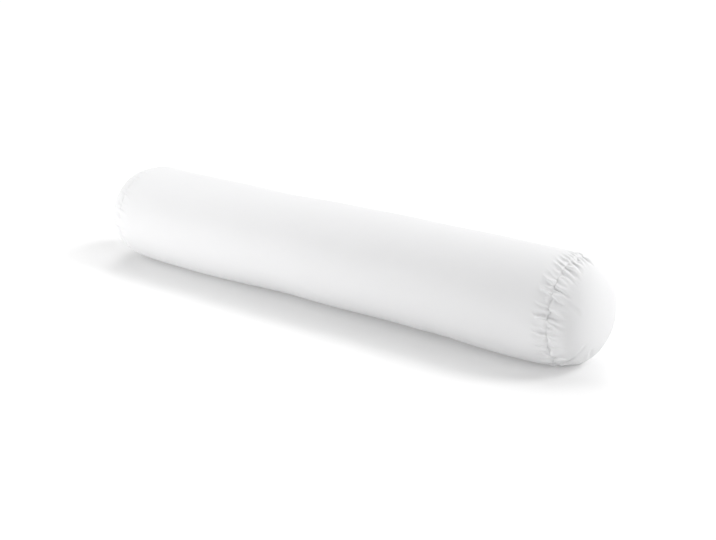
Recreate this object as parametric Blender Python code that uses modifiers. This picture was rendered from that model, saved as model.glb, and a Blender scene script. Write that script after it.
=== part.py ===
"""A long round bolster pillow: a filled tube of smooth white percale, closed at each end by a round
panel of the same cloth that is gathered into its seam. It lies on a floor and is pressed flat there.

X runs along the bolster, Z is up, and the origin is on the floor, under the middle of its box.
Three solids, each a piece that a maker cuts: the tube, and the end panel at either end.

A piece starts as a turned profile. Its points are then moved by three rules: the gathers along the
end seams, the uneven filling, and the way the whole bolster settles onto the floor."""
import math
import random
from collections import namedtuple

import bmesh
import bpy
from mathutils import Vector

# Driving dimensions, in metres
LENGTH = 1.400         # from tip to tip
RADIUS = 0.122         # of the round, filled tube
DOME = 0.080           # how far an end panel bulges past its seam
DOME_POWER = 2.00      # roundness of that bulge: 2 is an ellipse, 1 a cone
SEAM_RADIUS = 0.1155   # of the seam that holds an end panel
DRAW_IN = 0.045        # length over which the tube narrows to its seam
PINCH = 0.0015         # depth of the groove that the stitches pull in
PINCH_REACH = 0.004    # half width of that groove
SEWN_GAP = 0.0003      # between two pieces that are sewn together

# How it settles under its own weight, in metres
SINK = 0.0098          # how far the axis comes down, onto a flat underside
SOFT_EDGE = 0.0035     # half height of the bend where the cloth leaves the floor
SPREAD = 0.02          # widening at the floor, as a share of the width
SEAM_LEAN = 0.0042     # how far the low side of an end seam is pushed outwards
LEAN_RAMP = 0.120      # length of tube over which that push sets in

# Gathers: folds along an end seam, which is a round of GATHERS little pleats
GATHERS = 56
GATHER_SEED = 27
UNEVEN = 0.38          # how much wider or narrower than the mean a gather may be, as a share
DEPTHS = (0.0010, 0.0030)        # of its valley below the plain cloth, least and most
TUBE_REACHES = (0.012, 0.030)    # how far from the seam it runs on the tube
PANEL_REACHES = (0.018, 0.038)   # and on the end panel
CURLS = (-5.0, 5.0)              # degrees that it swerves round the panel as it dies out

# Across one gather: place, as a share of its width, and height, as a share of its depth
Fold = namedtuple("Fold", "name place height")
FOLDS = (
    Fold("valley", 0.00, -1.00),
    Fold("rise", 0.30, 0.05),
    Fold("crest", 0.55, 0.45),
    Fold("fall", 0.80, 0.10),
)
COLUMNS = GATHERS * len(FOLDS)

# Rings of points, as distances from a seam along the cloth: close together over the gathers
TUBE_FINE = (0.0, 0.004, 0.009, 0.015, 0.022, 0.030)
TUBE_COARSE = (0.046, 0.066)
TUBE_RINGS = 14        # over the rest of the tube's half length
PANEL_FINE = (0.0, 0.004, 0.009, 0.015, 0.022, 0.030, 0.038)
PANEL_RINGS = 7        # from the last of those to the tip

# Uneven filling: along in metres from the middle, around in degrees from the front over the top,
# spread each way as the distance over which a swell dies out, and height in metres
Swell = namedtuple("Swell", "along length around width height")
SWELLS = (
    Swell(-0.600, 0.060, 110, 60, 0.0030),
    Swell(-0.380, 0.160, -60, 40, 0.0042),
    Swell(-0.340, 0.110, 30, 50, -0.0020),
    Swell(-0.165, 0.090, 110, 45, -0.0030),
    Swell(-0.110, 0.110, -65, 40, -0.0036),
    Swell(-0.030, 0.110, 60, 60, 0.0022),
    Swell(0.170, 0.110, 115, 50, 0.0026),
    Swell(0.190, 0.130, -65, 40, -0.0034),
    Swell(0.250, 0.090, 20, 50, -0.0020),
    Swell(0.345, 0.035, -65, 30, -0.0024),
    Swell(0.400, 0.120, 110, 50, 0.0018),
    Swell(0.520, 0.100, -60, 40, 0.0034),
    Swell(0.120, 0.150, 215, 50, 0.0020),
    Swell(-0.300, 0.130, 220, 50, 0.0018),
    Swell(0.440, 0.120, 200, 45, -0.0018),
)

CLOTH = (0.93, 0.93, 0.935, 1.0)
ROUGHNESS = 0.85
SHARP_ANGLE = 50       # degrees, past which an edge is shaded sharp
ALIGNED = 0.0001       # metres within which two places count as one

SEAM_AT = LENGTH / 2 - DOME

Gather = namedtuple("Gather", "start width depth tube_reach panel_reach curl")
Ring = namedtuple("Ring", "radius bulge seam_distance")


# The gathers ---------------------------------------------------------------------------------

def make_gathers(seed):
    """One gather after another round a seam, each of its own width, depth and length."""
    chance = random.Random(seed)
    widths = [1 + chance.uniform(-UNEVEN, UNEVEN) for _ in range(GATHERS)]
    whole = sum(widths)
    gathers = []
    start = 0.0
    for width in widths:
        turn = 2 * math.pi * width / whole
        depth = chance.uniform(*DEPTHS)
        tube_reach = chance.uniform(*TUBE_REACHES)
        panel_reach = chance.uniform(*PANEL_REACHES)
        curl = math.radians(chance.uniform(*CURLS))
        gathers.append(Gather(start, turn, depth, tube_reach, panel_reach, curl))
        start += turn
    return gathers


def gathered(gathers, column, seam_distance, on_panel):
    """The angle of a column of points, and how far a gather lifts it there."""
    gather = gathers[column // len(FOLDS)]
    fold = FOLDS[column % len(FOLDS)]
    angle = gather.start + gather.width * fold.place
    reach = gather.panel_reach if on_panel else gather.tube_reach
    left = max(0.0, 1 - seam_distance / reach)
    if on_panel:
        angle += gather.curl * min(1.0, seam_distance / PANEL_REACHES[1]) ** 2
    return angle, gather.depth * fold.height * left * left


# The turned shape ----------------------------------------------------------------------------

def pinch(seam_distance):
    """Depth of the groove along the stitches."""
    return PINCH * max(0.0, 1 - seam_distance / PINCH_REACH)


def tube_radius(seam_distance):
    """Radius of the tube, which narrows smoothly to its seam."""
    drawn = max(0.0, 1 - seam_distance / DRAW_IN)
    return RADIUS - (RADIUS - SEAM_RADIUS) * drawn ** 2 - pinch(seam_distance)


def tube_profile():
    """(radius, place along) of the tube's side, from the right seam to the left."""
    half = SEAM_AT - SEWN_GAP / 2
    ends = TUBE_FINE + TUBE_COARSE
    step = (half - ends[-1]) / TUBE_RINGS
    distances = list(ends) + [ends[-1] + step * (n + 1) for n in range(TUBE_RINGS)]
    right = [(tube_radius(d), half - d) for d in distances]
    left = [(radius, -along) for radius, along in reversed(right[:-1])]
    return right + left


def dome_ring(turn, before):
    """A ring of an end panel: turn runs from 0 at the seam to a quarter turn at the tip."""
    power = 2 / DOME_POWER
    radius = SEAM_RADIUS * max(0.0, math.cos(turn)) ** power
    bulge = DOME * math.sin(turn) ** power
    stride = math.hypot(radius - before.radius, bulge - before.bulge)
    return Ring(radius, bulge, before.seam_distance + stride)


def panel_profile(samples=400):
    """The rings of an end panel, from its seam to just short of its tip."""
    path = [Ring(SEAM_RADIUS, 0.0, 0.0)]
    for n in range(samples):
        path.append(dome_ring(math.pi / 2 * (n + 1) / samples, path[-1]))
    step = (path[-1].seam_distance - PANEL_FINE[-1]) / PANEL_RINGS
    stops = list(PANEL_FINE) + [PANEL_FINE[-1] + step * (n + 1) for n in range(PANEL_RINGS - 1)]
    rings = [next(ring for ring in path if ring.seam_distance >= stop) for stop in stops]
    return [ring._replace(radius=ring.radius - pinch(ring.seam_distance)) for ring in rings]


# The uneven filling and the weight -----------------------------------------------------------

def swell_height(along, angle):
    """How far the filling pushes the cloth out, or lets it in, at a place on the bolster."""
    height = 0.0
    for swell in SWELLS:
        away = (along - swell.along) / swell.length
        round_by = math.degrees(angle) - swell.around
        round_by = (round_by + 180) % 360 - 180
        height += swell.height * math.exp(-away ** 2 - (round_by / swell.width) ** 2)
    return height


def smooth(share):
    """0 up to 0, 1 from 1 on, and a smooth rise between."""
    share = min(1.0, max(0.0, share))
    return share * share * (3 - 2 * share)


def settle(along, across, up):
    """Where a point of the round bolster comes to lie. Across and up are taken from its axis."""
    z = up + RADIUS - SINK
    if z < -SOFT_EDGE:
        z = 0.0
    elif z < SOFT_EDGE:
        z = (z + SOFT_EDGE) ** 2 / (4 * SOFT_EDGE)
    low = max(0.0, 1 - z / (2 * RADIUS))
    pushed = smooth((abs(along) - SEAM_AT + LEAN_RAMP) / LEAN_RAMP)
    lean = math.copysign(SEAM_LEAN, along) * pushed * (RADIUS - z) / RADIUS
    return Vector((along + lean, across * (1 + SPREAD * low), z))


# Building the pieces -------------------------------------------------------------------------

def percale(name):
    """Smooth white cotton cloth, as one piece's own material."""
    material = bpy.data.materials.new(name)
    material.use_nodes = True
    shader = material.node_tree.nodes["Principled BSDF"]
    shader.inputs["Base Color"].default_value = CLOTH
    shader.inputs["Roughness"].default_value = ROUGHNESS
    shader.inputs["Metallic"].default_value = 0.0
    material.diffuse_color = CLOTH
    return material


def turn(name, profile, collection):
    """A closed solid turned about Z from a profile of (radius, height) that starts at its top."""
    points = [(0.0, 0.0, profile[0][1])]
    points += [(radius, 0.0, height) for radius, height in profile]
    points += [(0.0, 0.0, profile[-1][1])]
    if profile[-1][0] == 0.0:
        points.pop()
    mesh = bpy.data.meshes.new(name)
    mesh.from_pydata(points, [(n, n + 1) for n in range(len(points) - 1)], [])
    piece = bpy.data.objects.new(name, mesh)
    collection.objects.link(piece)
    screw = piece.modifiers.new("turn", "SCREW")
    screw.steps = COLUMNS
    screw.render_steps = COLUMNS
    screw.use_merge_vertices = True
    screw.merge_threshold = ALIGNED / 10
    depsgraph = bpy.context.evaluated_depsgraph_get()
    turned = bpy.data.meshes.new_from_object(piece.evaluated_get(depsgraph))
    piece.modifiers.clear()
    piece.data = turned
    bpy.data.meshes.remove(mesh)
    turned.name = name
    return piece


def column_of(point):
    """Which column of the turned shape a point is in, or None on the axis."""
    if math.hypot(point.x, point.y) < ALIGNED:
        return None
    return round(math.atan2(point.y, point.x) / (2 * math.pi) * COLUMNS) % COLUMNS


def thin_out(bm, is_coarse):
    """Leave one column for each gather where a lengthwise edge lies past the gathers."""
    spare = []
    for edge in bm.edges:
        columns = {column_of(vert.co) for vert in edge.verts} - {None}
        lengthwise = len(columns) == 1
        if lengthwise and columns.pop() % len(FOLDS) and is_coarse(edge):
            spare.append(edge)
    bmesh.ops.dissolve_edges(bm, edges=spare, use_verts=True)


def place(bm, gathers, measure):
    """Move each point of a turned shape to where it lies on the bolster.

    measure(point) gives its place along the bolster, its distance from the seam along the
    cloth, and whether it is on an end panel."""
    for vert in bm.verts:
        column = column_of(vert.co)
        along, seam_distance, on_panel = measure(vert.co)
        radius = math.hypot(vert.co.x, vert.co.y)
        angle = 0.0
        if column is not None:
            angle, lift = gathered(gathers, column, seam_distance, on_panel)
            held = radius / RADIUS
            radius += lift + held * swell_height(along, angle)
        across = -radius * math.cos(angle)
        up = radius * math.sin(angle)
        vert.co = settle(along, across, up)


def finish(piece, bm, flipped):
    """Put the points back, facing outwards and smooth but for the flat sewn faces."""
    if flipped:
        bmesh.ops.reverse_faces(bm, faces=bm.faces)
    bm.to_mesh(piece.data)
    bm.free()
    piece.data.materials.append(percale(piece.name + "_percale"))
    piece.data.shade_smooth()
    piece.data.set_sharp_from_angle(angle=math.radians(SHARP_ANGLE))


def make_tube(gathers, collection):
    """The tube, with the gathers of either end."""
    half = SEAM_AT - SEWN_GAP / 2
    plain = half - TUBE_FINE[-1] + ALIGNED
    piece = turn("tube", tube_profile(), collection)
    bm = bmesh.new()
    bm.from_mesh(piece.data)
    thin_out(bm, lambda edge: all(abs(vert.co.z) < plain for vert in edge.verts))

    def measure(point):
        return point.z, half - abs(point.z), False

    place(bm, gathers, measure)
    finish(piece, bm, True)


def make_end_panel(name, side, gathers, collection):
    """The round panel at the right end (side 1) or the left (side -1), bulging and gathered."""
    inner = SEAM_AT + SEWN_GAP / 2
    rings = panel_profile()
    plain = rings[len(PANEL_FINE) - 1].bulge - ALIGNED
    profile = [(ring.radius, -ring.bulge) for ring in rings]
    profile.append((0.0, -(DOME - SEWN_GAP / 2)))
    piece = turn(name, profile, collection)
    bm = bmesh.new()
    bm.from_mesh(piece.data)
    thin_out(bm, lambda edge: all(-vert.co.z > plain for vert in edge.verts))

    def measure(point):
        bulge = -point.z
        nearest = min(rings, key=lambda ring: abs(ring.bulge - bulge))
        return side * (inner + bulge), nearest.seam_distance, True

    place(bm, gathers, measure)
    finish(piece, bm, side < 0)


def main():
    for old in list(bpy.data.objects):
        bpy.data.objects.remove(old, do_unlink=True)
    collection = bpy.data.collections.new("bolster")
    bpy.context.scene.collection.children.link(collection)
    gathers = make_gathers(GATHER_SEED)
    make_tube(gathers, collection)
    make_end_panel("end_panel_right", 1, gathers, collection)
    make_end_panel("end_panel_left", -1, gathers, collection)


main()
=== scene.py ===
# %% [markdown]
# # A long white bolster, made the way a sewing room makes it
#
# A bolster is a cloth tube stuffed with fibre, with a round panel sewn into each end. What makes it
# look real is not the cylinder but the sewing: a panel is cut wider than the opening, so its rim has
# to be gathered to fit, and little folds run out of the seam on both sides of it.
#
# This notebook rolls three pieces of cloth, lets Blender's cloth simulation draw their rims in until
# they pucker, lays the whole bolster down on the floor, and finishes it in white percale under soft
# studio light. Every size is in metres. X runs along the bolster and Z is up.

# %% Load the frame
import math
import random

import bpy
import numpy as np
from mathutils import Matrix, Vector


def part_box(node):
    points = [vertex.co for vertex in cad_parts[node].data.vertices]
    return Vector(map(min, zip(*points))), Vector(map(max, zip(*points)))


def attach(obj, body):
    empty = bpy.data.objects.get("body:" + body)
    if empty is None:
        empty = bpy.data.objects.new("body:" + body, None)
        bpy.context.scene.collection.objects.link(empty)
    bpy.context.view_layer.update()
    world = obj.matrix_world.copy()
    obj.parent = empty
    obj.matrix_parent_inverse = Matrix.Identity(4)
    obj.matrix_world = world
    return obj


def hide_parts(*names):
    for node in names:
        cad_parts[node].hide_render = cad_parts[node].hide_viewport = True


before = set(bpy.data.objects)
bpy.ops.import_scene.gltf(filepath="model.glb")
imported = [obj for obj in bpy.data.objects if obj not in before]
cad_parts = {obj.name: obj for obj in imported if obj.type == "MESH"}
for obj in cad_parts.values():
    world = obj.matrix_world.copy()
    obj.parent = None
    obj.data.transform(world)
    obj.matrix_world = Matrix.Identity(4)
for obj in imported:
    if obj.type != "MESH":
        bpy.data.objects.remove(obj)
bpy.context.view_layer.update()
print("frame nodes:", sorted(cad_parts))

# %% [markdown]
# ## Where the camera stands
#
# The bolster is seen a little from above and from its right end, so that the near panel faces us and
# the tube runs away to the left. A camera is easiest to reason about as an aim point, two angles and
# a distance: the direction from the aim point back to the lens follows from the two angles.

# %% Camera
AZIMUTH = math.radians(36.7)
ELEVATION = math.radians(19.1)
CAMERA_DISTANCE = 2.79
LENS = 59.2
FARTHEST_SEEN = 60
AIM = Vector((0.050, 0.019, 0.0795))

back = Vector((
    math.sin(AZIMUTH) * math.cos(ELEVATION),
    -math.cos(AZIMUTH) * math.cos(ELEVATION),
    math.sin(ELEVATION),
))
bpy.ops.object.camera_add(location=AIM + back * CAMERA_DISTANCE)
camera = bpy.context.object
camera.name = "studio_camera"
camera.rotation_euler = back.to_track_quat("Z", "Y").to_euler()
camera.data.lens = LENS
camera.data.clip_end = FARTHEST_SEEN
bpy.context.scene.camera = camera
print("camera at", [round(v, 3) for v in camera.location])

# %% [markdown]
# ## The sizes of the cut and sewn bolster
#
# The tube is 24.4 cm thick. It narrows over its last few centimetres, because the seam there is
# shorter than the cloth is round. Each end panel bulges 8 cm past that seam. The frame already holds
# these shapes as solids, and its tube's end and its panel's start are printed here beside the seam.

# %% Sizes
LENGTH = 1.400
RADIUS = 0.122
DOME = 0.080
SEAM_RADIUS = 0.1155
DRAW_IN = 0.045
SEWN_GAP = 0.0001
SEAM_AT = LENGTH / 2 - DOME

tube_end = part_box("tube")[1].x
panel_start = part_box("end_panel_right")[0].x
print(f"seam at {SEAM_AT:.4f}")
print(f"the frame's tube ends at {tube_end:.4f}, and its panel starts at {panel_start:.4f}")

# %% [markdown]
# ## Points along the cloth
#
# The folds are about 12 mm apart, so the cloth needs a point every 2 to 3 mm near a seam, and far
# fewer along the plain middle of the tube. A list of strides does that: short ones where the cloth
# is gathered, longer and longer ones away from it. The number of columns round the bolster is fixed.

# %% Strides along the cloth
COLUMNS = 288
FINE_STRIDE = 0.0023
TUBE_FINE_STRIDES = 14
TUBE_STRIDES = (0.0030, 0.0040, 0.0050, 0.0070, 0.0090, 0.0120, 0.0160)
TUBE_MIDDLE_STRIDE = 0.025
PANEL_FINE_STRIDES = 20
PANEL_STRIDE = 0.0040


def stops(strides):
    """The distances reached after each stride, from 0."""
    return np.concatenate([[0.0], np.cumsum(strides)])


half_tube = SEAM_AT - SEWN_GAP / 2
near_seam = stops([FINE_STRIDE] * TUBE_FINE_STRIDES + list(TUBE_STRIDES))
middle_count = round((half_tube - near_seam[-1]) / TUBE_MIDDLE_STRIDE)
middle = np.linspace(near_seam[-1], half_tube, middle_count + 1)[1:]
TUBE_STOPS = np.concatenate([near_seam, middle])
print("stops from a seam to the middle of the tube:", len(TUBE_STOPS))

# %% [markdown]
# ## Two shapes for each piece: as cut, and as sewn
#
# Cloth gathers because there is more of it than the seam has room for. So each piece is built in its
# cut size, a little too wide at the rim, and gets a second shape, the size it is sewn to. Going from
# the first to the second pushes the spare cloth into folds. The rest of the sewn shape is the filled
# form: a straight tube that narrows at its ends, and a dome that is an ellipse seen from the side.

# %% Shapes as sewn and as cut
TUBE_SPARE = 0.150
TUBE_SPARE_REACH = 0.022
PANEL_SPARE = 0.165
PANEL_SPARE_REACH = 0.030
SPARE_FADE = 1.5
STITCH_DIP = 0.0012
STITCH_DIP_REACH = 0.0035
PANEL_DIP = 0.0016
PANEL_DIP_AT = 0.014
ARC_SAMPLES = 2000
STEEPEST = 0.15


def stitch_dip(seam_distance):
    """How far the stitches hold the cloth down, right beside a seam."""
    return STITCH_DIP * np.exp(-seam_distance / STITCH_DIP_REACH)


def panel_dip(seam_distance):
    """How far the gathers pull an end panel in, deepest a little way from its seam."""
    share = seam_distance / PANEL_DIP_AT
    return PANEL_DIP * share * np.exp(1 - share)


def filled_tube_radius(seam_distance):
    """The radius of the filled tube, which narrows towards its seams."""
    drawn = np.clip(1 - seam_distance / DRAW_IN, 0, 1)
    return RADIUS - (RADIUS - SEAM_RADIUS) * drawn ** 2


def spare(seam_distance, share, reach):
    """How much wider than sewn the cloth is cut, as a factor."""
    return 1 + share * np.clip(1 - seam_distance / reach, 0, 1) ** SPARE_FADE


def tube_shapes():
    """(along, radius) of the tube's rings from the left seam to the right, as sewn and as cut."""
    radius = filled_tube_radius(TUBE_STOPS) - stitch_dip(TUBE_STOPS)
    cut = filled_tube_radius(TUBE_STOPS) * spare(TUBE_STOPS, TUBE_SPARE, TUBE_SPARE_REACH)
    along = TUBE_STOPS - half_tube
    both = [np.concatenate([values, values[-2::-1]]) for values in (radius, cut)]
    along = np.concatenate([along, -along[-2::-1]])
    return np.stack([along, both[0]], 1), np.stack([along, both[1]], 1)


def panel_shapes():
    """(bulge, radius) of an end panel's rings from its seam to its tip, as sewn and as cut."""
    turn = np.linspace(0, math.pi / 2, ARC_SAMPLES)
    bulge = DOME * np.sin(turn)
    radius = SEAM_RADIUS * np.cos(turn)
    arc = np.concatenate([[0.0], np.cumsum(np.hypot(np.diff(bulge), np.diff(radius)))])
    coarse = int((arc[-1] - PANEL_FINE_STRIDES * FINE_STRIDE) / PANEL_STRIDE)
    places = stops([FINE_STRIDE] * PANEL_FINE_STRIDES + [PANEL_STRIDE] * coarse)
    places = places[places < arc[-1] - PANEL_STRIDE / 2]
    sewn = np.stack([np.interp(places, arc, bulge), np.interp(places, arc, radius)], 1)
    cut = sewn.copy()
    cut[:, 1] *= spare(places, PANEL_SPARE, PANEL_SPARE_REACH)
    sewn[:, 1] -= stitch_dip(places) + panel_dip(places)
    # The cut rim is wider, so each ring steps less far along: the cloth keeps its own length.
    for ring in range(len(places) - 2, -1, -1):
        stride = places[ring + 1] - places[ring]
        outward = cut[ring, 1] - cut[ring + 1, 1]
        step = math.sqrt(max(stride ** 2 - outward ** 2, (STEEPEST * stride) ** 2))
        cut[ring, 0] = cut[ring + 1, 0] - step
    return sewn, cut, places


TUBE_SEWN, TUBE_CUT = tube_shapes()
PANEL_SEWN, PANEL_CUT, PANEL_PLACES = panel_shapes()
print("tube rings:", len(TUBE_SEWN), "panel rings:", len(PANEL_SEWN))
print(f"panel rim is cut {PANEL_CUT[0, 1] / PANEL_SEWN[0, 1]:.2f} times too wide")

# %% [markdown]
# ## Rolling a piece of cloth
#
# A round piece is a flat grid that is rolled up. One way the grid has a row of points for each ring of
# the profile, the other way it has the columns. The roll starts at the top and goes a full turn, and
# merging the doubles closes it. A grid always numbers its points and faces in the same order, which
# the simulation needs to fold the same way each time. Everything is deselected first, because the
# frame's nodes come in selected and an operator would take them along.

# %% Roll a grid into a round piece
MERGE = 0.00002


def deselect_all():
    bpy.ops.object.select_all(action="DESELECT")


def points_of(mesh):
    flat = np.zeros(len(mesh.vertices) * 3)
    mesh.vertices.foreach_get("co", flat)
    return flat.reshape(-1, 3)


def set_points(mesh, points):
    mesh.vertices.foreach_set("co", points.astype(np.float32).ravel())
    mesh.update()


def roll_cloth(name, profile):
    """Roll a grid of quads up about X, with a ring for each (along, radius) of the profile."""
    deselect_all()
    rows = len(profile) - 1
    size = {"x_subdivisions": rows, "y_subdivisions": COLUMNS, "size": 1}
    bpy.ops.mesh.primitive_grid_add(calc_uvs=False, **size)
    piece = bpy.context.object
    piece.name = name
    flat = points_of(piece.data)
    ring = np.rint((flat[:, 0] + 0.5) * rows).astype(int)
    turn = -2 * math.pi * (flat[:, 1] + 0.5)
    along = profile[ring, 0]
    radius = profile[ring, 1]
    set_points(piece.data, np.stack([along, radius * np.sin(turn), radius * np.cos(turn)], 1))
    bpy.ops.object.mode_set(mode="EDIT")
    bpy.ops.mesh.select_all(action="SELECT")
    bpy.ops.mesh.remove_doubles(threshold=MERGE)
    bpy.ops.mesh.select_all(action="SELECT")
    bpy.ops.mesh.normals_make_consistent(inside=False)
    bpy.ops.object.mode_set(mode="OBJECT")
    return piece


def angle_round(points):
    """The angle round the bolster: 0 at the front, a quarter turn at the top, half at the back."""
    return np.arctan2(points[:, 2], -points[:, 1]) % (2 * math.pi)


def rings_of(points, profile):
    """Which ring of the profile each point belongs to, found by its place along it."""
    along = np.asarray(profile)[:, 0]
    return np.abs(points[:, 0:1] - along[None, :]).argmin(1)


print(f"pieces are rolled in {COLUMNS} columns, points within {MERGE * 1000:.2f} mm are merged")

# %% [markdown]
# ## Chance, but the same chance every time
#
# Nobody gathers a rim evenly. Two seeded wobbles take care of that: one bunches the rim's cloth more
# in some places than in others, and one gives the cut cloth faint waves, about as far apart as the
# folds will be, so that the simulation knows where to start folding. Both pieces that meet at a seam
# use the same bunching, so their rims match point for point.
#
# The folds of a gathered seam also lean: the cloth was pushed along as it ran under the needle, so
# the rim sits a little further round than the cloth behind it. The lean is a slope, how far the fold
# goes round for each step away from the seam, and the twist is that same push as an angle.

# %% Seeded unevenness
BUNCHING = 0.0070
BUNCH_WAVES = (8, 45)
RIPPLE = 0.0004
RIPPLE_WAVES = (30, 75)
RIPPLE_REACH = 0.045
BUNCH_REACH = 0.030
SLANT = 0.20
SLANT_SWING = 0.25
TWIST = 0.016
SIDE_SEEDS = {1: 5, -1: 11}
RIPPLE_SEEDS_FROM = 100


def wobble(seed, waves, size):
    """A smooth random curve round the bolster, as a function of the angle."""
    chance = random.Random(seed)
    terms = [(n, chance.gauss(0, 1), chance.uniform(0, 2 * math.pi)) for n in range(*waves)]
    spread = math.sqrt(sum(weight ** 2 for _, weight, _ in terms) / 2)

    def curve(angle):
        return size * sum(weight * np.cos(n * angle + phase) for n, weight, phase in terms) / spread

    return curve


def lean_of_folds(angle):
    """How far the folds lean off the bolster's own direction: most at the top, none below."""
    return SLANT + SLANT_SWING * np.sin(angle)


bunch = {side: wobble(seed, BUNCH_WAVES, BUNCHING) for side, seed in SIDE_SEEDS.items()}
ripple = {
    side: wobble(seed + RIPPLE_SEEDS_FROM, RIPPLE_WAVES, RIPPLE)
    for side, seed in SIDE_SEEDS.items()
}
print(f"folds lean between {SLANT - SLANT_SWING:.2f} and {SLANT + SLANT_SWING:.2f} of their length")

# %% [markdown]
# ## Drawing the rims in
#
# The cut shape is the mesh itself, and the sewn shape is a shape key that is keyed from 0 to 1. The
# rim is pinned, so it follows the key, while the cloth behind it is free: it has nowhere to put its
# spare length but into folds, and a light pressure rounds them. The plain parts are pinned as well,
# because there is nothing for them to do. Gravity stays off, as the filling carries the cloth. Stiff
# springs keep the cloth from stretching, and a very low bending stiffness lets it fold.

# %% Gathering by simulation
SIM_FRAMES = 26
DRAW_FRAMES = 11
CLOTH = {
    "quality": 5,
    "mass": 0.02,
    "tension_stiffness": 30,
    "compression_stiffness": 30,
    "shear_stiffness": 5,
    "bending_stiffness": 0.004,
    "tension_damping": 5,
    "compression_damping": 5,
    "shear_damping": 5,
    "bending_damping": 0.5,
    "uniform_pressure_force": 60,
}
LOOSE_PIN = 0.6


def pin_weights(piece, weights):
    """A vertex group that holds each point to the sewn shape by its own weight."""
    group = piece.vertex_groups.new(name="held")
    for weight in np.unique(weights):
        if weight > 0:
            group.add(np.flatnonzero(weights == weight).tolist(), float(weight), "REPLACE")


def gather(piece, sewn, weights):
    """Draw a cut piece in to its sewn points and return where its cloth ends up."""
    pin_weights(piece, weights)
    piece.shape_key_add(name="cut")
    key = piece.shape_key_add(name="sewn")
    key.data.foreach_set("co", sewn.astype(np.float32).ravel())
    key.value = 0
    key.keyframe_insert("value", frame=1)
    key.value = 1
    key.keyframe_insert("value", frame=1 + DRAW_FRAMES)
    cloth = piece.modifiers.new("cloth", "CLOTH")
    for name, value in CLOTH.items():
        setattr(cloth.settings, name, value)
    cloth.settings.use_pressure = True
    cloth.settings.vertex_group_mass = "held"
    cloth.settings.effector_weights.gravity = 0
    cloth.collision_settings.use_collision = False
    cloth.point_cache.frame_end = SIM_FRAMES
    for number in range(1, SIM_FRAMES + 1):
        bpy.context.scene.frame_set(number)
    shown = piece.evaluated_get(bpy.context.evaluated_depsgraph_get())
    folded = points_of(shown.data)
    piece.modifiers.remove(cloth)
    piece.shape_key_clear()
    bpy.context.scene.frame_set(1)
    return folded


print(f"cloth: {SIM_FRAMES} frames, and the rims are drawn in over the first {DRAW_FRAMES}")

# %% [markdown]
# ## Keeping the filled form
#
# The simulation moves whole rings a little as well, in or out. The filled form is known better than
# that, so only the folds are kept: the mean move of each ring, taken along the surface's normal, is
# taken away again. The filling pulls a gathered seam tight, so what is left is fullest beside the
# seam and eases out to nothing a few centimetres behind it. At the right end it is made a little
# deeper than the short simulation got it. The left end was sewn with more care and puckers only
# finely, so its folds are halved. No point may end further than a few millimetres from the sewn shape.

# %% Keep the folds only
FURTHEST = 0.007
FOLD_SIZE = {1: 1.4, -1: 0.5}
NO_LENGTH = 1e-9


def ring_normals(profile):
    """(along, outward) of each ring's normal, from its neighbours on the profile."""
    tangent = np.gradient(np.asarray(profile), axis=0)
    normal = np.stack([-tangent[:, 1], tangent[:, 0]], 1)
    normal /= np.linalg.norm(normal, axis=1)[:, None]
    return normal


def eased(share):
    """The share from 0 to 1, with a soft start and a soft end."""
    return share * share * (3 - 2 * share)


def fold_share(seam_distance, reach):
    """1 beside the seam, easing to 0 between the two distances of the reach."""
    return 1 - eased(np.clip((seam_distance - reach[0]) / (reach[1] - reach[0]), 0, 1))


def keep_folds(folded, sewn, ring, normals, angle, kept, side):
    """The sewn shape with the simulation's folds, but not its drift."""
    moved = folded - sewn
    outward = np.stack([
        normals[ring, 0],
        -normals[ring, 1] * np.cos(angle),
        normals[ring, 1] * np.sin(angle),
    ], 1)
    along_normal = (moved * outward).sum(1)
    count = np.bincount(ring)
    drift = np.bincount(ring, along_normal) / np.maximum(count, 1)
    moved -= outward * drift[ring][:, None]
    moved *= (np.where(side > 0, FOLD_SIZE[1], FOLD_SIZE[-1]) * kept)[:, None]
    size = np.linalg.norm(moved, axis=1)
    moved *= np.minimum(1, FURTHEST / np.maximum(size, NO_LENGTH))[:, None]
    taken = np.abs(drift).max()
    print(f"  largest fold {size.max() * 1000:.1f} mm, drift taken out up to {taken * 1000:.1f} mm")
    return sewn + moved


print(f"folds at {FOLD_SIZE[1]} times on the right and {FOLD_SIZE[-1]} times on the left")
print(f"no point ends further than {FURTHEST * 1000:.0f} mm from the sewn shape")

# %% [markdown]
# ## The threads' own coordinates
#
# Percale is woven straight, so its threads follow the cut piece and not the room. A UV map in metres
# records that before the cloth is moved: along and round for the tube, and flat across the disc for
# an end panel. On the tube the last column has to meet the first, so a face that spans the join reads
# its low angles as one full turn more.

# %% UV in metres
def tube_threads(piece, ring):
    """UV of the flat tube: along it, and round it."""
    mesh = piece.data
    layer = mesh.uv_layers.new(name="threads")
    angle = angle_round(points_of(mesh))
    for face in mesh.polygons:
        corners = [angle[v] for v in face.vertices]
        wraps = max(corners) - min(corners) > math.pi
        for loop, vertex in zip(face.loop_indices, face.vertices):
            turn = angle[vertex]
            if wraps and turn < math.pi:
                turn += 2 * math.pi
            layer.data[loop].uv = (TUBE_CUT[ring[vertex], 0], turn * RADIUS)


def panel_threads(piece, ring):
    """UV of a flat panel: a disc, with the tip in the middle."""
    mesh = piece.data
    layer = mesh.uv_layers.new(name="threads")
    angle = angle_round(points_of(mesh))
    reach = PANEL_PLACES[-1] - PANEL_PLACES
    for face in mesh.polygons:
        for loop, vertex in zip(face.loop_indices, face.vertices):
            out = reach[ring[vertex]]
            layer.data[loop].uv = (out * math.cos(angle[vertex]), out * math.sin(angle[vertex]))


print(f"flat tube: {2 * half_tube:.3f} by {2 * math.pi * RADIUS:.3f} m")
print(f"flat panel: {2 * PANEL_PLACES[-1]:.3f} m across")
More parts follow.
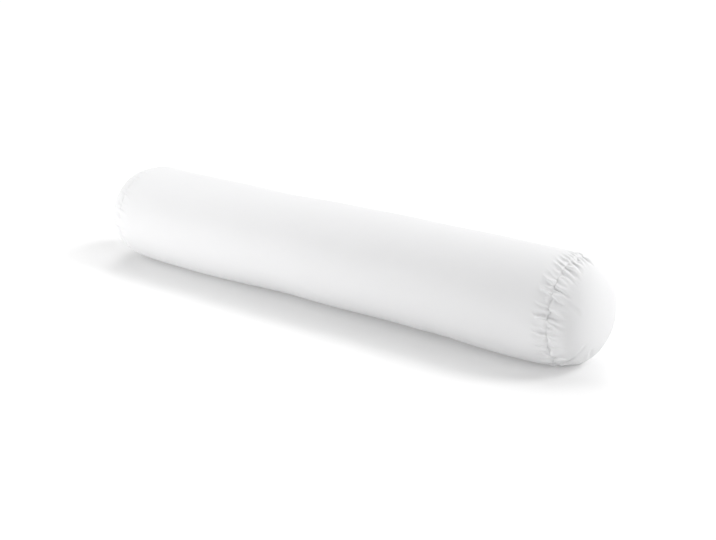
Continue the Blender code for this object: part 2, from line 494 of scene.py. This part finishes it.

# %% [markdown]
# ## The tube
#
# Both rims of the tube are drawn in at once. Its middle stays pinned: a filled tube is smooth there.
# A point's sewn place follows from its ring and its angle, with the bunching faded out behind each
# seam.

# %% Make the tube
TUBE_FREE = 0.050
TUBE_FOLDS = (0.008, 0.040)


def sewn_points(ring, angle, profile, seam_distance, side, beyond):
    """Where each point is sewn to: its ring's place, and its angle with the bunching and twist."""
    fade = np.clip(1 - seam_distance / BUNCH_REACH, 0, 1)
    shift = np.where(side > 0, bunch[1](angle), bunch[-1](angle))
    twist = TWIST * lean_of_folds(angle) / (SLANT + SLANT_SWING)
    turned = angle + shift * fade - beyond * side * twist * (1 - fade)
    radius = profile[ring, 1]
    return np.stack([profile[ring, 0], -radius * np.cos(turned), radius * np.sin(turned)], 1)


def rippled(points, angle, seam_distance, side, beyond):
    """The cut cloth with its faint waves, which lean as the folds will."""
    fade = np.clip(1 - seam_distance / RIPPLE_REACH, 0, 1)
    leaning = angle + beyond * side * lean_of_folds(angle) * seam_distance / RADIUS
    lift = np.where(side > 0, ripple[1](leaning), ripple[-1](leaning)) * fade
    out = points.copy()
    out[:, 1] -= lift * np.cos(angle)
    out[:, 2] += lift * np.sin(angle)
    return out


def make_tube():
    """Cut the tube, gather both its rims and return it."""
    piece = roll_cloth("bolster_tube", TUBE_CUT)
    points = points_of(piece.data)
    angle = angle_round(points)
    ring = rings_of(points, TUBE_CUT)
    tube_threads(piece, ring)
    side = np.sign(points[:, 0])
    seam_distance = half_tube - np.abs(points[:, 0])
    sewn = sewn_points(ring, angle, TUBE_SEWN, seam_distance, side, -1)
    folded = sewn
    set_points(piece.data, rippled(points, angle, seam_distance, side, -1))
    is_held = (seam_distance < FINE_STRIDE / 2) | (seam_distance > TUBE_FREE)
    weights = np.where(is_held, 1.0, 0.0)
    folded = gather(piece, sewn, weights)
    kept = fold_share(seam_distance, TUBE_FOLDS)
    folded = keep_folds(folded, sewn, ring, ring_normals(TUBE_SEWN), angle, kept, side)
    set_points(piece.data, folded)
    print("tube:", len(piece.data.vertices), "points")
    return piece


tube = make_tube()

# %% [markdown]
# ## The two end panels
#
# A panel is made once for each end, from the same cut but with its own chance folds. It is built at
# the right end, bulging towards +X. For the left end the profile is mirrored before it is rolled. The
# face of the panel is held loosely, more and more towards its tip, since its filling keeps it round.

# %% Make the end panels
PANEL_FOLDS = (0.018, 0.060)
FACE_FREE = 0.022
FACE_FADE = 0.034


def placed(profile, side):
    """A panel's profile put at the end of the tube that side names."""
    out = profile.copy()
    out[:, 0] = side * (SEAM_AT + SEWN_GAP / 2 + profile[:, 0])
    return out


def make_panel(name, side):
    """Cut one end panel, gather its rim and return it."""
    sewn_profile = placed(PANEL_SEWN, side)
    cut_profile = placed(PANEL_CUT, side)
    piece = roll_cloth(name, cut_profile)
    points = points_of(piece.data)
    angle = angle_round(points)
    ring = rings_of(points, cut_profile)
    panel_threads(piece, ring)
    seam_distance = PANEL_PLACES[ring]
    sides = np.full(len(points), float(side))
    sewn = sewn_points(ring, angle, sewn_profile, seam_distance, sides, 1)
    folded = sewn
    set_points(piece.data, rippled(points, angle, seam_distance, sides, 1))
    hold = LOOSE_PIN * np.clip((seam_distance - FACE_FREE) / FACE_FADE, 0, 1)
    weights = np.where(ring == 0, 1.0, np.round(hold, 2))
    folded = gather(piece, sewn, weights)
    kept = fold_share(seam_distance, PANEL_FOLDS)
    folded = keep_folds(folded, sewn, ring, ring_normals(sewn_profile), angle, kept, sides)
    set_points(piece.data, folded)
    print(name, len(piece.data.vertices), "points")
    return piece


panel_right = make_panel("bolster_end_right", 1)
panel_left = make_panel("bolster_end_left", -1)
PIECES = (tube, panel_right, panel_left)

# %% [markdown]
# ## One subdivision
#
# The simulation works on quads of 2 to 3 mm. One level of subdivision halves them and rounds the
# folds, which is as fine as a fold in percale needs.

# %% Subdivide
def make_active(piece):
    """Make one piece the only one selected, and the active one."""
    deselect_all()
    piece.select_set(True)
    bpy.context.view_layer.objects.active = piece


def subdivide(piece):
    make_active(piece)
    modifier = piece.modifiers.new("smooth", "SUBSURF")
    modifier.levels = 1
    modifier.render_levels = 1
    bpy.ops.object.modifier_apply(modifier="smooth")


for piece in PIECES:
    subdivide(piece)
    print(piece.name, len(piece.data.polygons), "faces")

# %% [markdown]
# ## The seam itself
#
# Where two cloths are sewn together their edges turn inwards, so the seam is the bottom of a narrow
# groove. Behind it, on the tube, the folded seam allowance lifts the cloth a little. The tube also has
# one straight seam along its whole length, where the flat cloth was closed into a tube; it lies low on
# the back. All of these are moves of a fraction of a millimetre, worked out from each point's distance
# to its seam.

# %% Seam groove and allowance
GROOVE = 0.0003
GROOVE_REACH = 0.0030
ALLOWANCE_LIFT = 0.0004
ALLOWANCE_AT = 0.0065
ALLOWANCE_HALF = 0.0030
CLOSING_SEAM_AT = math.radians(235)
CLOSING_GROOVE = 0.0009
CLOSING_REACH = 0.0022


def allowance(distance):
    """How much the folded allowance beside a seam lifts the cloth."""
    return ALLOWANCE_LIFT * np.exp(-((distance - ALLOWANCE_AT) / ALLOWANCE_HALF) ** 2)


def sew_in(piece):
    """Sink a piece's cloth beside its seams, and lift it over their allowances."""
    points = points_of(piece.data)
    angle = angle_round(points)
    distance = np.abs(np.abs(points[:, 0]) - SEAM_AT)
    sink = GROOVE * np.clip(1 - distance / GROOVE_REACH, 0, 1) ** 2
    if piece is tube:
        sink = sink - allowance(distance)
        round_by = RADIUS * (angle - CLOSING_SEAM_AT)
        sink = sink + CLOSING_GROOVE * np.exp(-(round_by / CLOSING_REACH) ** 2)
        sink = sink - allowance(round_by)
    points[:, 1] += sink * np.cos(angle)
    points[:, 2] -= sink * np.sin(angle)
    set_points(piece.data, points)


for piece in PIECES:
    sew_in(piece)
print(f"seam groove {GROOVE * 1000:.1f} mm, closing seam {CLOSING_GROOVE * 1000:.1f} mm deep")

# %% [markdown]
# ## Creases that are not gathers
#
# A bolster that has been packed and turned over keeps a few soft creases. Each one here is a path over
# the flat cloth, given as points: how far from the right seam, and how far round in degrees.
# The cloth dips along the path and rises a little beside it, and both ends of the path fade out.

# %% Creases
CREASES = (
    # piece, width, depth, path of (from the right seam, degrees round)
    ("bolster_end_right", 0.0040, 0.0034, ((0.002, -60), (0.022, -51), (0.047, -45), (0.076, -34))),
    ("bolster_end_right", 0.0035, 0.0026, ((0.004, -68), (0.020, -63), (0.038, -60), (0.050, -58))),
    ("bolster_end_right", 0.0045, 0.0024, ((0.060, -78), (0.072, -66), (0.082, -56))),
    ("bolster_end_right", 0.0060, 0.0010, ((0.030, 28), (0.050, 25), (0.068, 18))),
    ("bolster_tube", 0.0038, 0.0024, ((0.001, 27), (0.010, 26), (0.022, 27))),
    ("bolster_tube", 0.0040, 0.0026, ((0.001, 9), (0.012, 10), (0.024, 8))),
    ("bolster_tube", 0.0036, 0.0022, ((0.001, -7), (0.012, -8), (0.020, -7))),
    ("bolster_tube", 0.0035, 0.0010, ((0.004, -52), (0.020, -50), (0.040, -51))),
    ("bolster_tube", 0.0035, 0.0008, ((0.006, -60), (0.028, -58), (0.052, -60))),
    ("bolster_tube", 0.0050, 0.0016, ((0.110, -74), (0.118, -62), (0.122, -52))),
    ("bolster_tube", 0.0060, 0.0018, ((0.272, -76), (0.280, -62), (0.284, -50))),
    ("bolster_tube", 0.0060, 0.0014, ((0.452, -76), (0.448, -64), (0.446, -54))),
)
RIDGE_SHARE = 0.45
RIDGE_OFFSET = 1.7
END_FADE = 0.7
PATH_POINTS = 40
PATH_REACH = 0.12


def flat_places(piece, points):
    """Where each point lies on the flat cloth, in metres."""
    angle = angle_round(points)
    if piece is tube:
        turned = (angle + math.pi / 2) % (2 * math.pi) - math.pi / 2
        return np.stack([points[:, 0], turned * RADIUS], 1)
    bulge = np.abs(points[:, 0]) - SEAM_AT
    reach = PANEL_PLACES[-1] - np.interp(bulge, PANEL_SEWN[:, 0], PANEL_PLACES)
    return np.stack([reach * np.cos(angle), reach * np.sin(angle)], 1)


def flat_path(piece, path):
    """A crease's listed path in the same flat coordinates, as a smooth run of points."""
    path = np.array(path)
    steps = np.linspace(0, 1, PATH_POINTS)
    given = np.linspace(0, 1, len(path))
    degree = min(3, len(path) - 1)
    seam_distance = np.polyval(np.polyfit(given, path[:, 0], degree), steps)
    turned = np.radians(np.polyval(np.polyfit(given, path[:, 1], degree), steps))
    if piece is tube:
        return np.stack([SEAM_AT - seam_distance, turned * RADIUS], 1)
    reach = PANEL_PLACES[-1] - seam_distance
    return np.stack([reach * np.cos(turned), reach * np.sin(turned)], 1)


def crease(piece, width, depth, path):
    """Press one crease into a piece, along the nearest point of its path."""
    points = points_of(piece.data)
    flat = flat_places(piece, points)
    line = flat_path(piece, path)
    near = np.flatnonzero((np.abs(flat - line.mean(0)) < PATH_REACH).all(1))
    away = flat[near][:, None, :] - line[None, :, :]
    closest = np.linalg.norm(away, axis=2).argmin(1)
    tangent = np.gradient(line, axis=0)
    tangent /= np.linalg.norm(tangent, axis=1)[:, None]
    offset = away[np.arange(len(near)), closest]
    across = offset[:, 0] * tangent[closest, 1] - offset[:, 1] * tangent[closest, 0]
    beyond = (offset * tangent[closest]).sum(1)
    ends = np.sin(math.pi * (closest + 0.5) / len(line)) ** END_FADE
    ends *= np.exp(-(beyond / width) ** 2)
    dip = -np.exp(-(across / width) ** 2)
    ridge = RIDGE_SHARE * np.exp(-((across - RIDGE_OFFSET * width) / width) ** 2)
    normals = np.zeros(len(points) * 3, dtype=np.float32)
    piece.data.vertices.foreach_get("normal", normals)
    points[near] += normals.reshape(-1, 3)[near] * (depth * (dip + ridge) * ends)[:, None]
    set_points(piece.data, points)


for name, width, depth, path in CREASES:
    crease(bpy.data.objects[name], width, depth, path)
print("creases:", len(CREASES))

# %% [markdown]
# ## Uneven filling
#
# Fibre filling never lies evenly. A short table of swells pushes the cloth out or lets it in: where
# along the bolster, where round it, how far each reaches, and how high it is. Round is in degrees
# from the front, with 90 at the top. The same swells shape the solids of the frame.

# %% Swells
SWELLS = (
    # along, length, around, width, height
    (-0.600, 0.060, 110, 60, 0.0030),
    (-0.380, 0.160, -60, 40, 0.0042),
    (-0.340, 0.110, 30, 50, -0.0020),
    (-0.165, 0.090, 110, 45, -0.0030),
    (-0.110, 0.110, -65, 40, -0.0036),
    (-0.030, 0.110, 60, 60, 0.0022),
    (0.170, 0.110, 115, 50, 0.0026),
    (0.190, 0.130, -65, 40, -0.0034),
    (0.250, 0.090, 20, 50, -0.0020),
    (0.345, 0.035, -65, 30, -0.0024),
    (0.400, 0.120, 110, 50, 0.0018),
    (0.520, 0.100, -60, 40, 0.0034),
    (0.120, 0.150, 215, 50, 0.0020),
    (-0.300, 0.130, 220, 50, 0.0018),
    (0.440, 0.120, 200, 45, -0.0018),
)


def swell(points):
    """The points with every swell of the filling added, away from the bolster's own line."""
    angle = np.degrees(angle_round(points))
    lift = np.zeros(len(points))
    for along, length, around, width, height in SWELLS:
        away = (points[:, 0] - along) / length
        round_by = (angle - around + 180) % 360 - 180
        lift += height * np.exp(-away ** 2 - (round_by / width) ** 2)
    held = np.hypot(points[:, 1], points[:, 2]) / RADIUS
    turn = np.radians(angle)
    out = points.copy()
    out[:, 1] -= lift * held * np.cos(turn)
    out[:, 2] += lift * held * np.sin(turn)
    return out


# %% [markdown]
# ## Lying down
#
# A filled bolster sinks onto its underside until that is flat, and grows a little wider there. Below
# the floor every height becomes 0, just above it the cloth curves away softly, and higher up nothing
# changes. The low side of either end seam is pushed outwards by the same weight.

# %% Settle onto the floor
SINK = 0.0098
SOFT_EDGE = 0.0100
SPREAD = 0.02
SEAM_LEAN = 0.0042
LEAN_RAMP = 0.120
END_LIFT = 0.0030


def settle(points):
    """The points laid on the floor, flat below and a little wider there."""
    z = points[:, 2] + RADIUS - SINK
    pushed = eased(np.clip((np.abs(points[:, 0]) - SEAM_AT + LEAN_RAMP) / LEAN_RAMP, 0, 1))
    z = z + END_LIFT * pushed * np.clip(1 - z / RADIUS, 0, 1)
    bend = (z + SOFT_EDGE) ** 2 / (4 * SOFT_EDGE)
    z = np.where(z < -SOFT_EDGE, 0, np.where(z < SOFT_EDGE, bend, z))
    low = np.clip(1 - z / (2 * RADIUS), 0, None)
    lean = np.sign(points[:, 0]) * SEAM_LEAN * pushed * (RADIUS - z) / RADIUS
    return np.stack([points[:, 0] + lean, points[:, 1] * (1 + SPREAD * low), z], 1)


for piece in PIECES:
    set_points(piece.data, settle(swell(points_of(piece.data))))
    print(piece.name, "lies at", round(points_of(piece.data)[:, 2].min(), 4))

# %% [markdown]
# ## Closing the pieces
#
# Each piece is still an open sheet. The small round hole in the middle of an end panel is filled and
# poked to a point. A sewn rim is turned inwards, as a seam allowance is, and then filled too, so that
# every piece becomes one closed body. The two rims at a seam turn in side by side.

# %% Close the pieces
TURN_IN = 0.004
NEAR_SEAM = 0.030


def pick_open_edges(piece, at_seam):
    """Select a piece's open edges: those at a seam, or those away from it."""
    mesh = piece.data
    used = np.zeros(len(mesh.loops), dtype=np.int32)
    mesh.loops.foreach_get("edge_index", used)
    ends = np.zeros(len(mesh.edges) * 2, dtype=np.int32)
    mesh.edges.foreach_get("vertices", ends)
    along = points_of(mesh)[ends.reshape(-1, 2), 0].mean(1)
    is_open = np.bincount(used, minlength=len(mesh.edges)) == 1
    is_near = np.abs(np.abs(along) - SEAM_AT) < NEAR_SEAM
    chosen = is_open & (is_near == at_seam)
    make_active(piece)
    bpy.ops.object.mode_set(mode="EDIT")
    bpy.ops.mesh.select_mode(type="EDGE")
    bpy.ops.mesh.select_all(action="DESELECT")
    bpy.ops.object.mode_set(mode="OBJECT")
    mesh.edges.foreach_set("select", chosen)
    bpy.ops.object.mode_set(mode="EDIT")
    return int(chosen.sum())


def close(piece):
    """Close an open piece: its tip, if it has one, and its sewn rims, turned in."""
    if pick_open_edges(piece, at_seam=False):
        bpy.ops.mesh.edge_face_add()
        bpy.ops.mesh.poke()
    bpy.ops.object.mode_set(mode="OBJECT")
    pick_open_edges(piece, at_seam=True)
    shrink = 1 - TURN_IN / SEAM_RADIUS
    bpy.ops.mesh.extrude_edges_move()
    bpy.ops.transform.resize(value=(1, shrink, shrink), center_override=(0, 0, RADIUS - SINK))
    bpy.ops.mesh.select_all(action="SELECT")
    bpy.ops.mesh.fill_holes(sides=0)
    bpy.ops.mesh.select_all(action="SELECT")
    bpy.ops.mesh.normals_make_consistent(inside=False)
    bpy.ops.mesh.select_mode(type="VERT")
    bpy.ops.object.mode_set(mode="OBJECT")
    left_open = pick_open_edges(piece, at_seam=True)
    bpy.ops.object.mode_set(mode="OBJECT")
    piece.data.shade_smooth()
    print(piece.name, "open edges left:", left_open)


for piece in PIECES:
    close(piece)

# %% [markdown]
# ## White percale
#
# Percale is a plain weave of fine threads, matt and crisp. Seen from a step away it is simply white,
# but it catches light at its threads, so it has a weave of its own in the bump, a slight slub, and a
# soft sheen at grazing angles. The pattern reads the thread coordinates in metres.

# %% Percale material
THREAD_PITCH = 0.0004
THREAD_HEIGHT = 0.00006
THREAD_STRENGTH = 0.25
SLUB_SCALE = 350
SLUB_DETAIL = 3
SLUB_HEIGHT = 0.00012
SLUB_STRENGTH = 0.3
TONE_SCALE = 9
TONE_DETAIL = 2
TONE_SHADE = 0.985
CLOTH_WHITE = (0.735, 0.735, 0.740)
CLOTH_SURFACE = {
    "Roughness": 0.85,
    "Sheen Weight": 0.05,
    "Sheen Roughness": 0.5,
    "Specular IOR Level": 0.3,
}


def node(tree, kind, **settings):
    """A new node of a material, with its own settings."""
    made = tree.nodes.new(kind)
    for name, value in settings.items():
        setattr(made, name, value)
    return made


def bump(tree, height, strength, distance):
    """A bump node that reads a height, and stands that far above the cloth."""
    made = node(tree, "ShaderNodeBump")
    made.inputs["Strength"].default_value = strength
    made.inputs["Distance"].default_value = distance
    tree.links.new(height, made.inputs["Height"])
    return made


def noise(tree, uv, scale, detail):
    """The height of a noise that lies on the threads' coordinates."""
    made = node(tree, "ShaderNodeTexNoise")
    made.inputs["Scale"].default_value = scale
    made.inputs["Detail"].default_value = detail
    tree.links.new(uv.outputs["UV"], made.inputs["Vector"])
    return made.outputs["Fac"]


def plain_weave(tree, uv):
    """Threads both ways: the product of a sine along the piece and one across it."""
    split = node(tree, "ShaderNodeSeparateXYZ")
    tree.links.new(uv.outputs["UV"], split.inputs[0])
    weave = node(tree, "ShaderNodeMath", operation="MULTIPLY")
    for number, axis in enumerate(("X", "Y")):
        scale = node(tree, "ShaderNodeMath", operation="MULTIPLY")
        scale.inputs[1].default_value = 2 * math.pi / THREAD_PITCH
        wave = node(tree, "ShaderNodeMath", operation="SINE")
        tree.links.new(split.outputs[axis], scale.inputs[0])
        tree.links.new(scale.outputs[0], wave.inputs[0])
        tree.links.new(wave.outputs[0], weave.inputs[number])
    return weave.outputs[0]


def percale(name):
    """White percale: a weave and a slub in the bump, and a faint change of tone."""
    material = bpy.data.materials.new(name)
    material.use_nodes = True
    tree = material.node_tree
    shader = tree.nodes["Principled BSDF"]
    for setting, value in CLOTH_SURFACE.items():
        shader.inputs[setting].default_value = value
    uv = node(tree, "ShaderNodeUVMap", uv_map="threads")
    threads = bump(tree, plain_weave(tree, uv), THREAD_STRENGTH, THREAD_HEIGHT)
    slub = bump(tree, noise(tree, uv, SLUB_SCALE, SLUB_DETAIL), SLUB_STRENGTH, SLUB_HEIGHT)
    tree.links.new(threads.outputs["Normal"], slub.inputs["Normal"])
    tree.links.new(slub.outputs["Normal"], shader.inputs["Normal"])
    ramp = node(tree, "ShaderNodeValToRGB")
    ramp.color_ramp.elements[0].color = tuple(c * TONE_SHADE for c in CLOTH_WHITE) + (1,)
    ramp.color_ramp.elements[1].color = CLOTH_WHITE + (1,)
    tree.links.new(noise(tree, uv, TONE_SCALE, TONE_DETAIL), ramp.inputs["Fac"])
    tree.links.new(ramp.outputs["Color"], shader.inputs["Base Color"])
    return material


tube.data.materials.append(percale("tube_percale"))
for piece in (panel_right, panel_left):
    piece.data.materials.append(percale(piece.name + "_percale"))
print("finished in white:", [piece.data.materials[0].name for piece in PIECES])

# %% [markdown]
# ## Tying the cloth to the frame
#
# Each sewn piece stands for one solid of the frame, which is hidden, and rides on its only body. All
# three are filled, and quite firmly.

# %% Ride and replace
STANDS_FOR = {
    tube: ("tube", "tube_cloth"),
    panel_right: ("end_panel_right", "end_panel_cloth"),
    panel_left: ("end_panel_left", "end_panel_cloth"),
}
for piece, (solid, cloth_slot) in STANDS_FOR.items():
    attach(piece, "root")
    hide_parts(solid)
    print(piece.name, "stands for", solid)

# %% [markdown]
# ## A white floor
#
# The floor is one large matt sheet, so that the bolster's soft shadow is all that shows on it. In a
# product studio it is often a translucent table with a lamp under it, which lifts the shadows. Here no
# lamp is under it: the white floor itself glows a little, painted light that lifts the shadows on it.

# %% Floor
FLOOR_WHITE = 0.78
FLOOR_GLOW = 0.12
FLOOR_SIZE = 60

bpy.ops.mesh.primitive_plane_add(size=FLOOR_SIZE)
floor = bpy.context.object
floor.name = "studio_floor"
paint = bpy.data.materials.new("floor_paint_and_glow")
paint.use_nodes = True
matt = paint.node_tree.nodes["Principled BSDF"]
matt.inputs["Base Color"].default_value = (FLOOR_WHITE, FLOOR_WHITE, FLOOR_WHITE, 1)
matt.inputs["Roughness"].default_value = 1.0
matt.inputs["Specular IOR Level"].default_value = 0.0
# Painted light: the floor glows by itself, which lifts the bolster's shadow on it.
matt.inputs["Emission Color"].default_value = (1, 1, 1, 1)
matt.inputs["Emission Strength"].default_value = FLOOR_GLOW
floor.data.materials.append(paint)
print("floor:", floor.name, "gives off", FLOOR_GLOW)

# %% [markdown]
# ## Light
#
# A white object on white is drawn by its shading alone, so it is lit as a white product is: from
# behind and from both sides, and hardly at all from the front. The back lamps make the top bright and
# throw a short soft shadow forwards. The two right lamps light the near end panel and only graze the
# seam, which leaves its gathers in half light, where they show best. One softbox stands to the far
# left and close to the floor and keeps the far end from going dull; a weak one by the camera's left
# fills the front. A sun lamp's softness is the angle it fills as seen from the bolster. Azimuth runs
# from the front, 0, to the right, 90.

# %% Lights
SUNS = (
    # name, azimuth, elevation, strength, softness, all angles in degrees
    ("top_back", 215, 64, 1.25, 45),
    ("back_right", 150, 45, 0.70, 40),
    ("back_low", 210, 20, 0.95, 40),
    ("right_behind", 125, 42, 1.20, 20),
    ("right", 80, 27, 1.40, 40),
    ("left", 280, 30, 0.45, 20),
)
BOXES = (
    # name, where it stands, side, power
    ("far_softbox", (-3.6, -3.8, 0.6), 1.5, 165),
    ("near_softbox", (-0.5, -1.6, 0.6), 0.9, 4.8),
)
BOXES_AIM = Vector((0, 0, 0.1))
SUN_DISTANCE = 5
WORLD = 0.02


def direction(azimuth, elevation):
    """The unit vector from the bolster towards a lamp."""
    turn = math.radians(azimuth)
    rise = math.radians(elevation)
    flat = math.cos(rise)
    return Vector((math.sin(turn) * flat, -math.cos(turn) * flat, math.sin(rise)))


def lamp(kind, name, place, towards):
    """A lamp that stands at a place, faces away from the given direction and is not seen itself."""
    bpy.ops.object.light_add(type=kind, location=place)
    made = bpy.context.object
    made.name = name
    made.rotation_euler = towards.to_track_quat("Z", "Y").to_euler()
    made.visible_camera = False
    return made


for name, azimuth, elevation, strength, softness in SUNS:
    towards = direction(azimuth, elevation)
    made = lamp("SUN", name + "_lamp", towards * SUN_DISTANCE, towards)
    made.data.energy = strength
    made.data.angle = math.radians(softness)
for name, place, side, power in BOXES:
    made = lamp("AREA", name, place, Vector(place) - BOXES_AIM)
    made.data.size = side
    made.data.energy = power
world = bpy.data.worlds.new("studio_air")
world.use_nodes = True
world.node_tree.nodes["Background"].inputs["Color"].default_value = (1, 1, 1, 1)
world.node_tree.nodes["Background"].inputs["Strength"].default_value = WORLD
bpy.context.scene.world = world
bpy.context.scene.view_settings.view_transform = "Standard"
print("lamps:", len(SUNS) + len(BOXES))
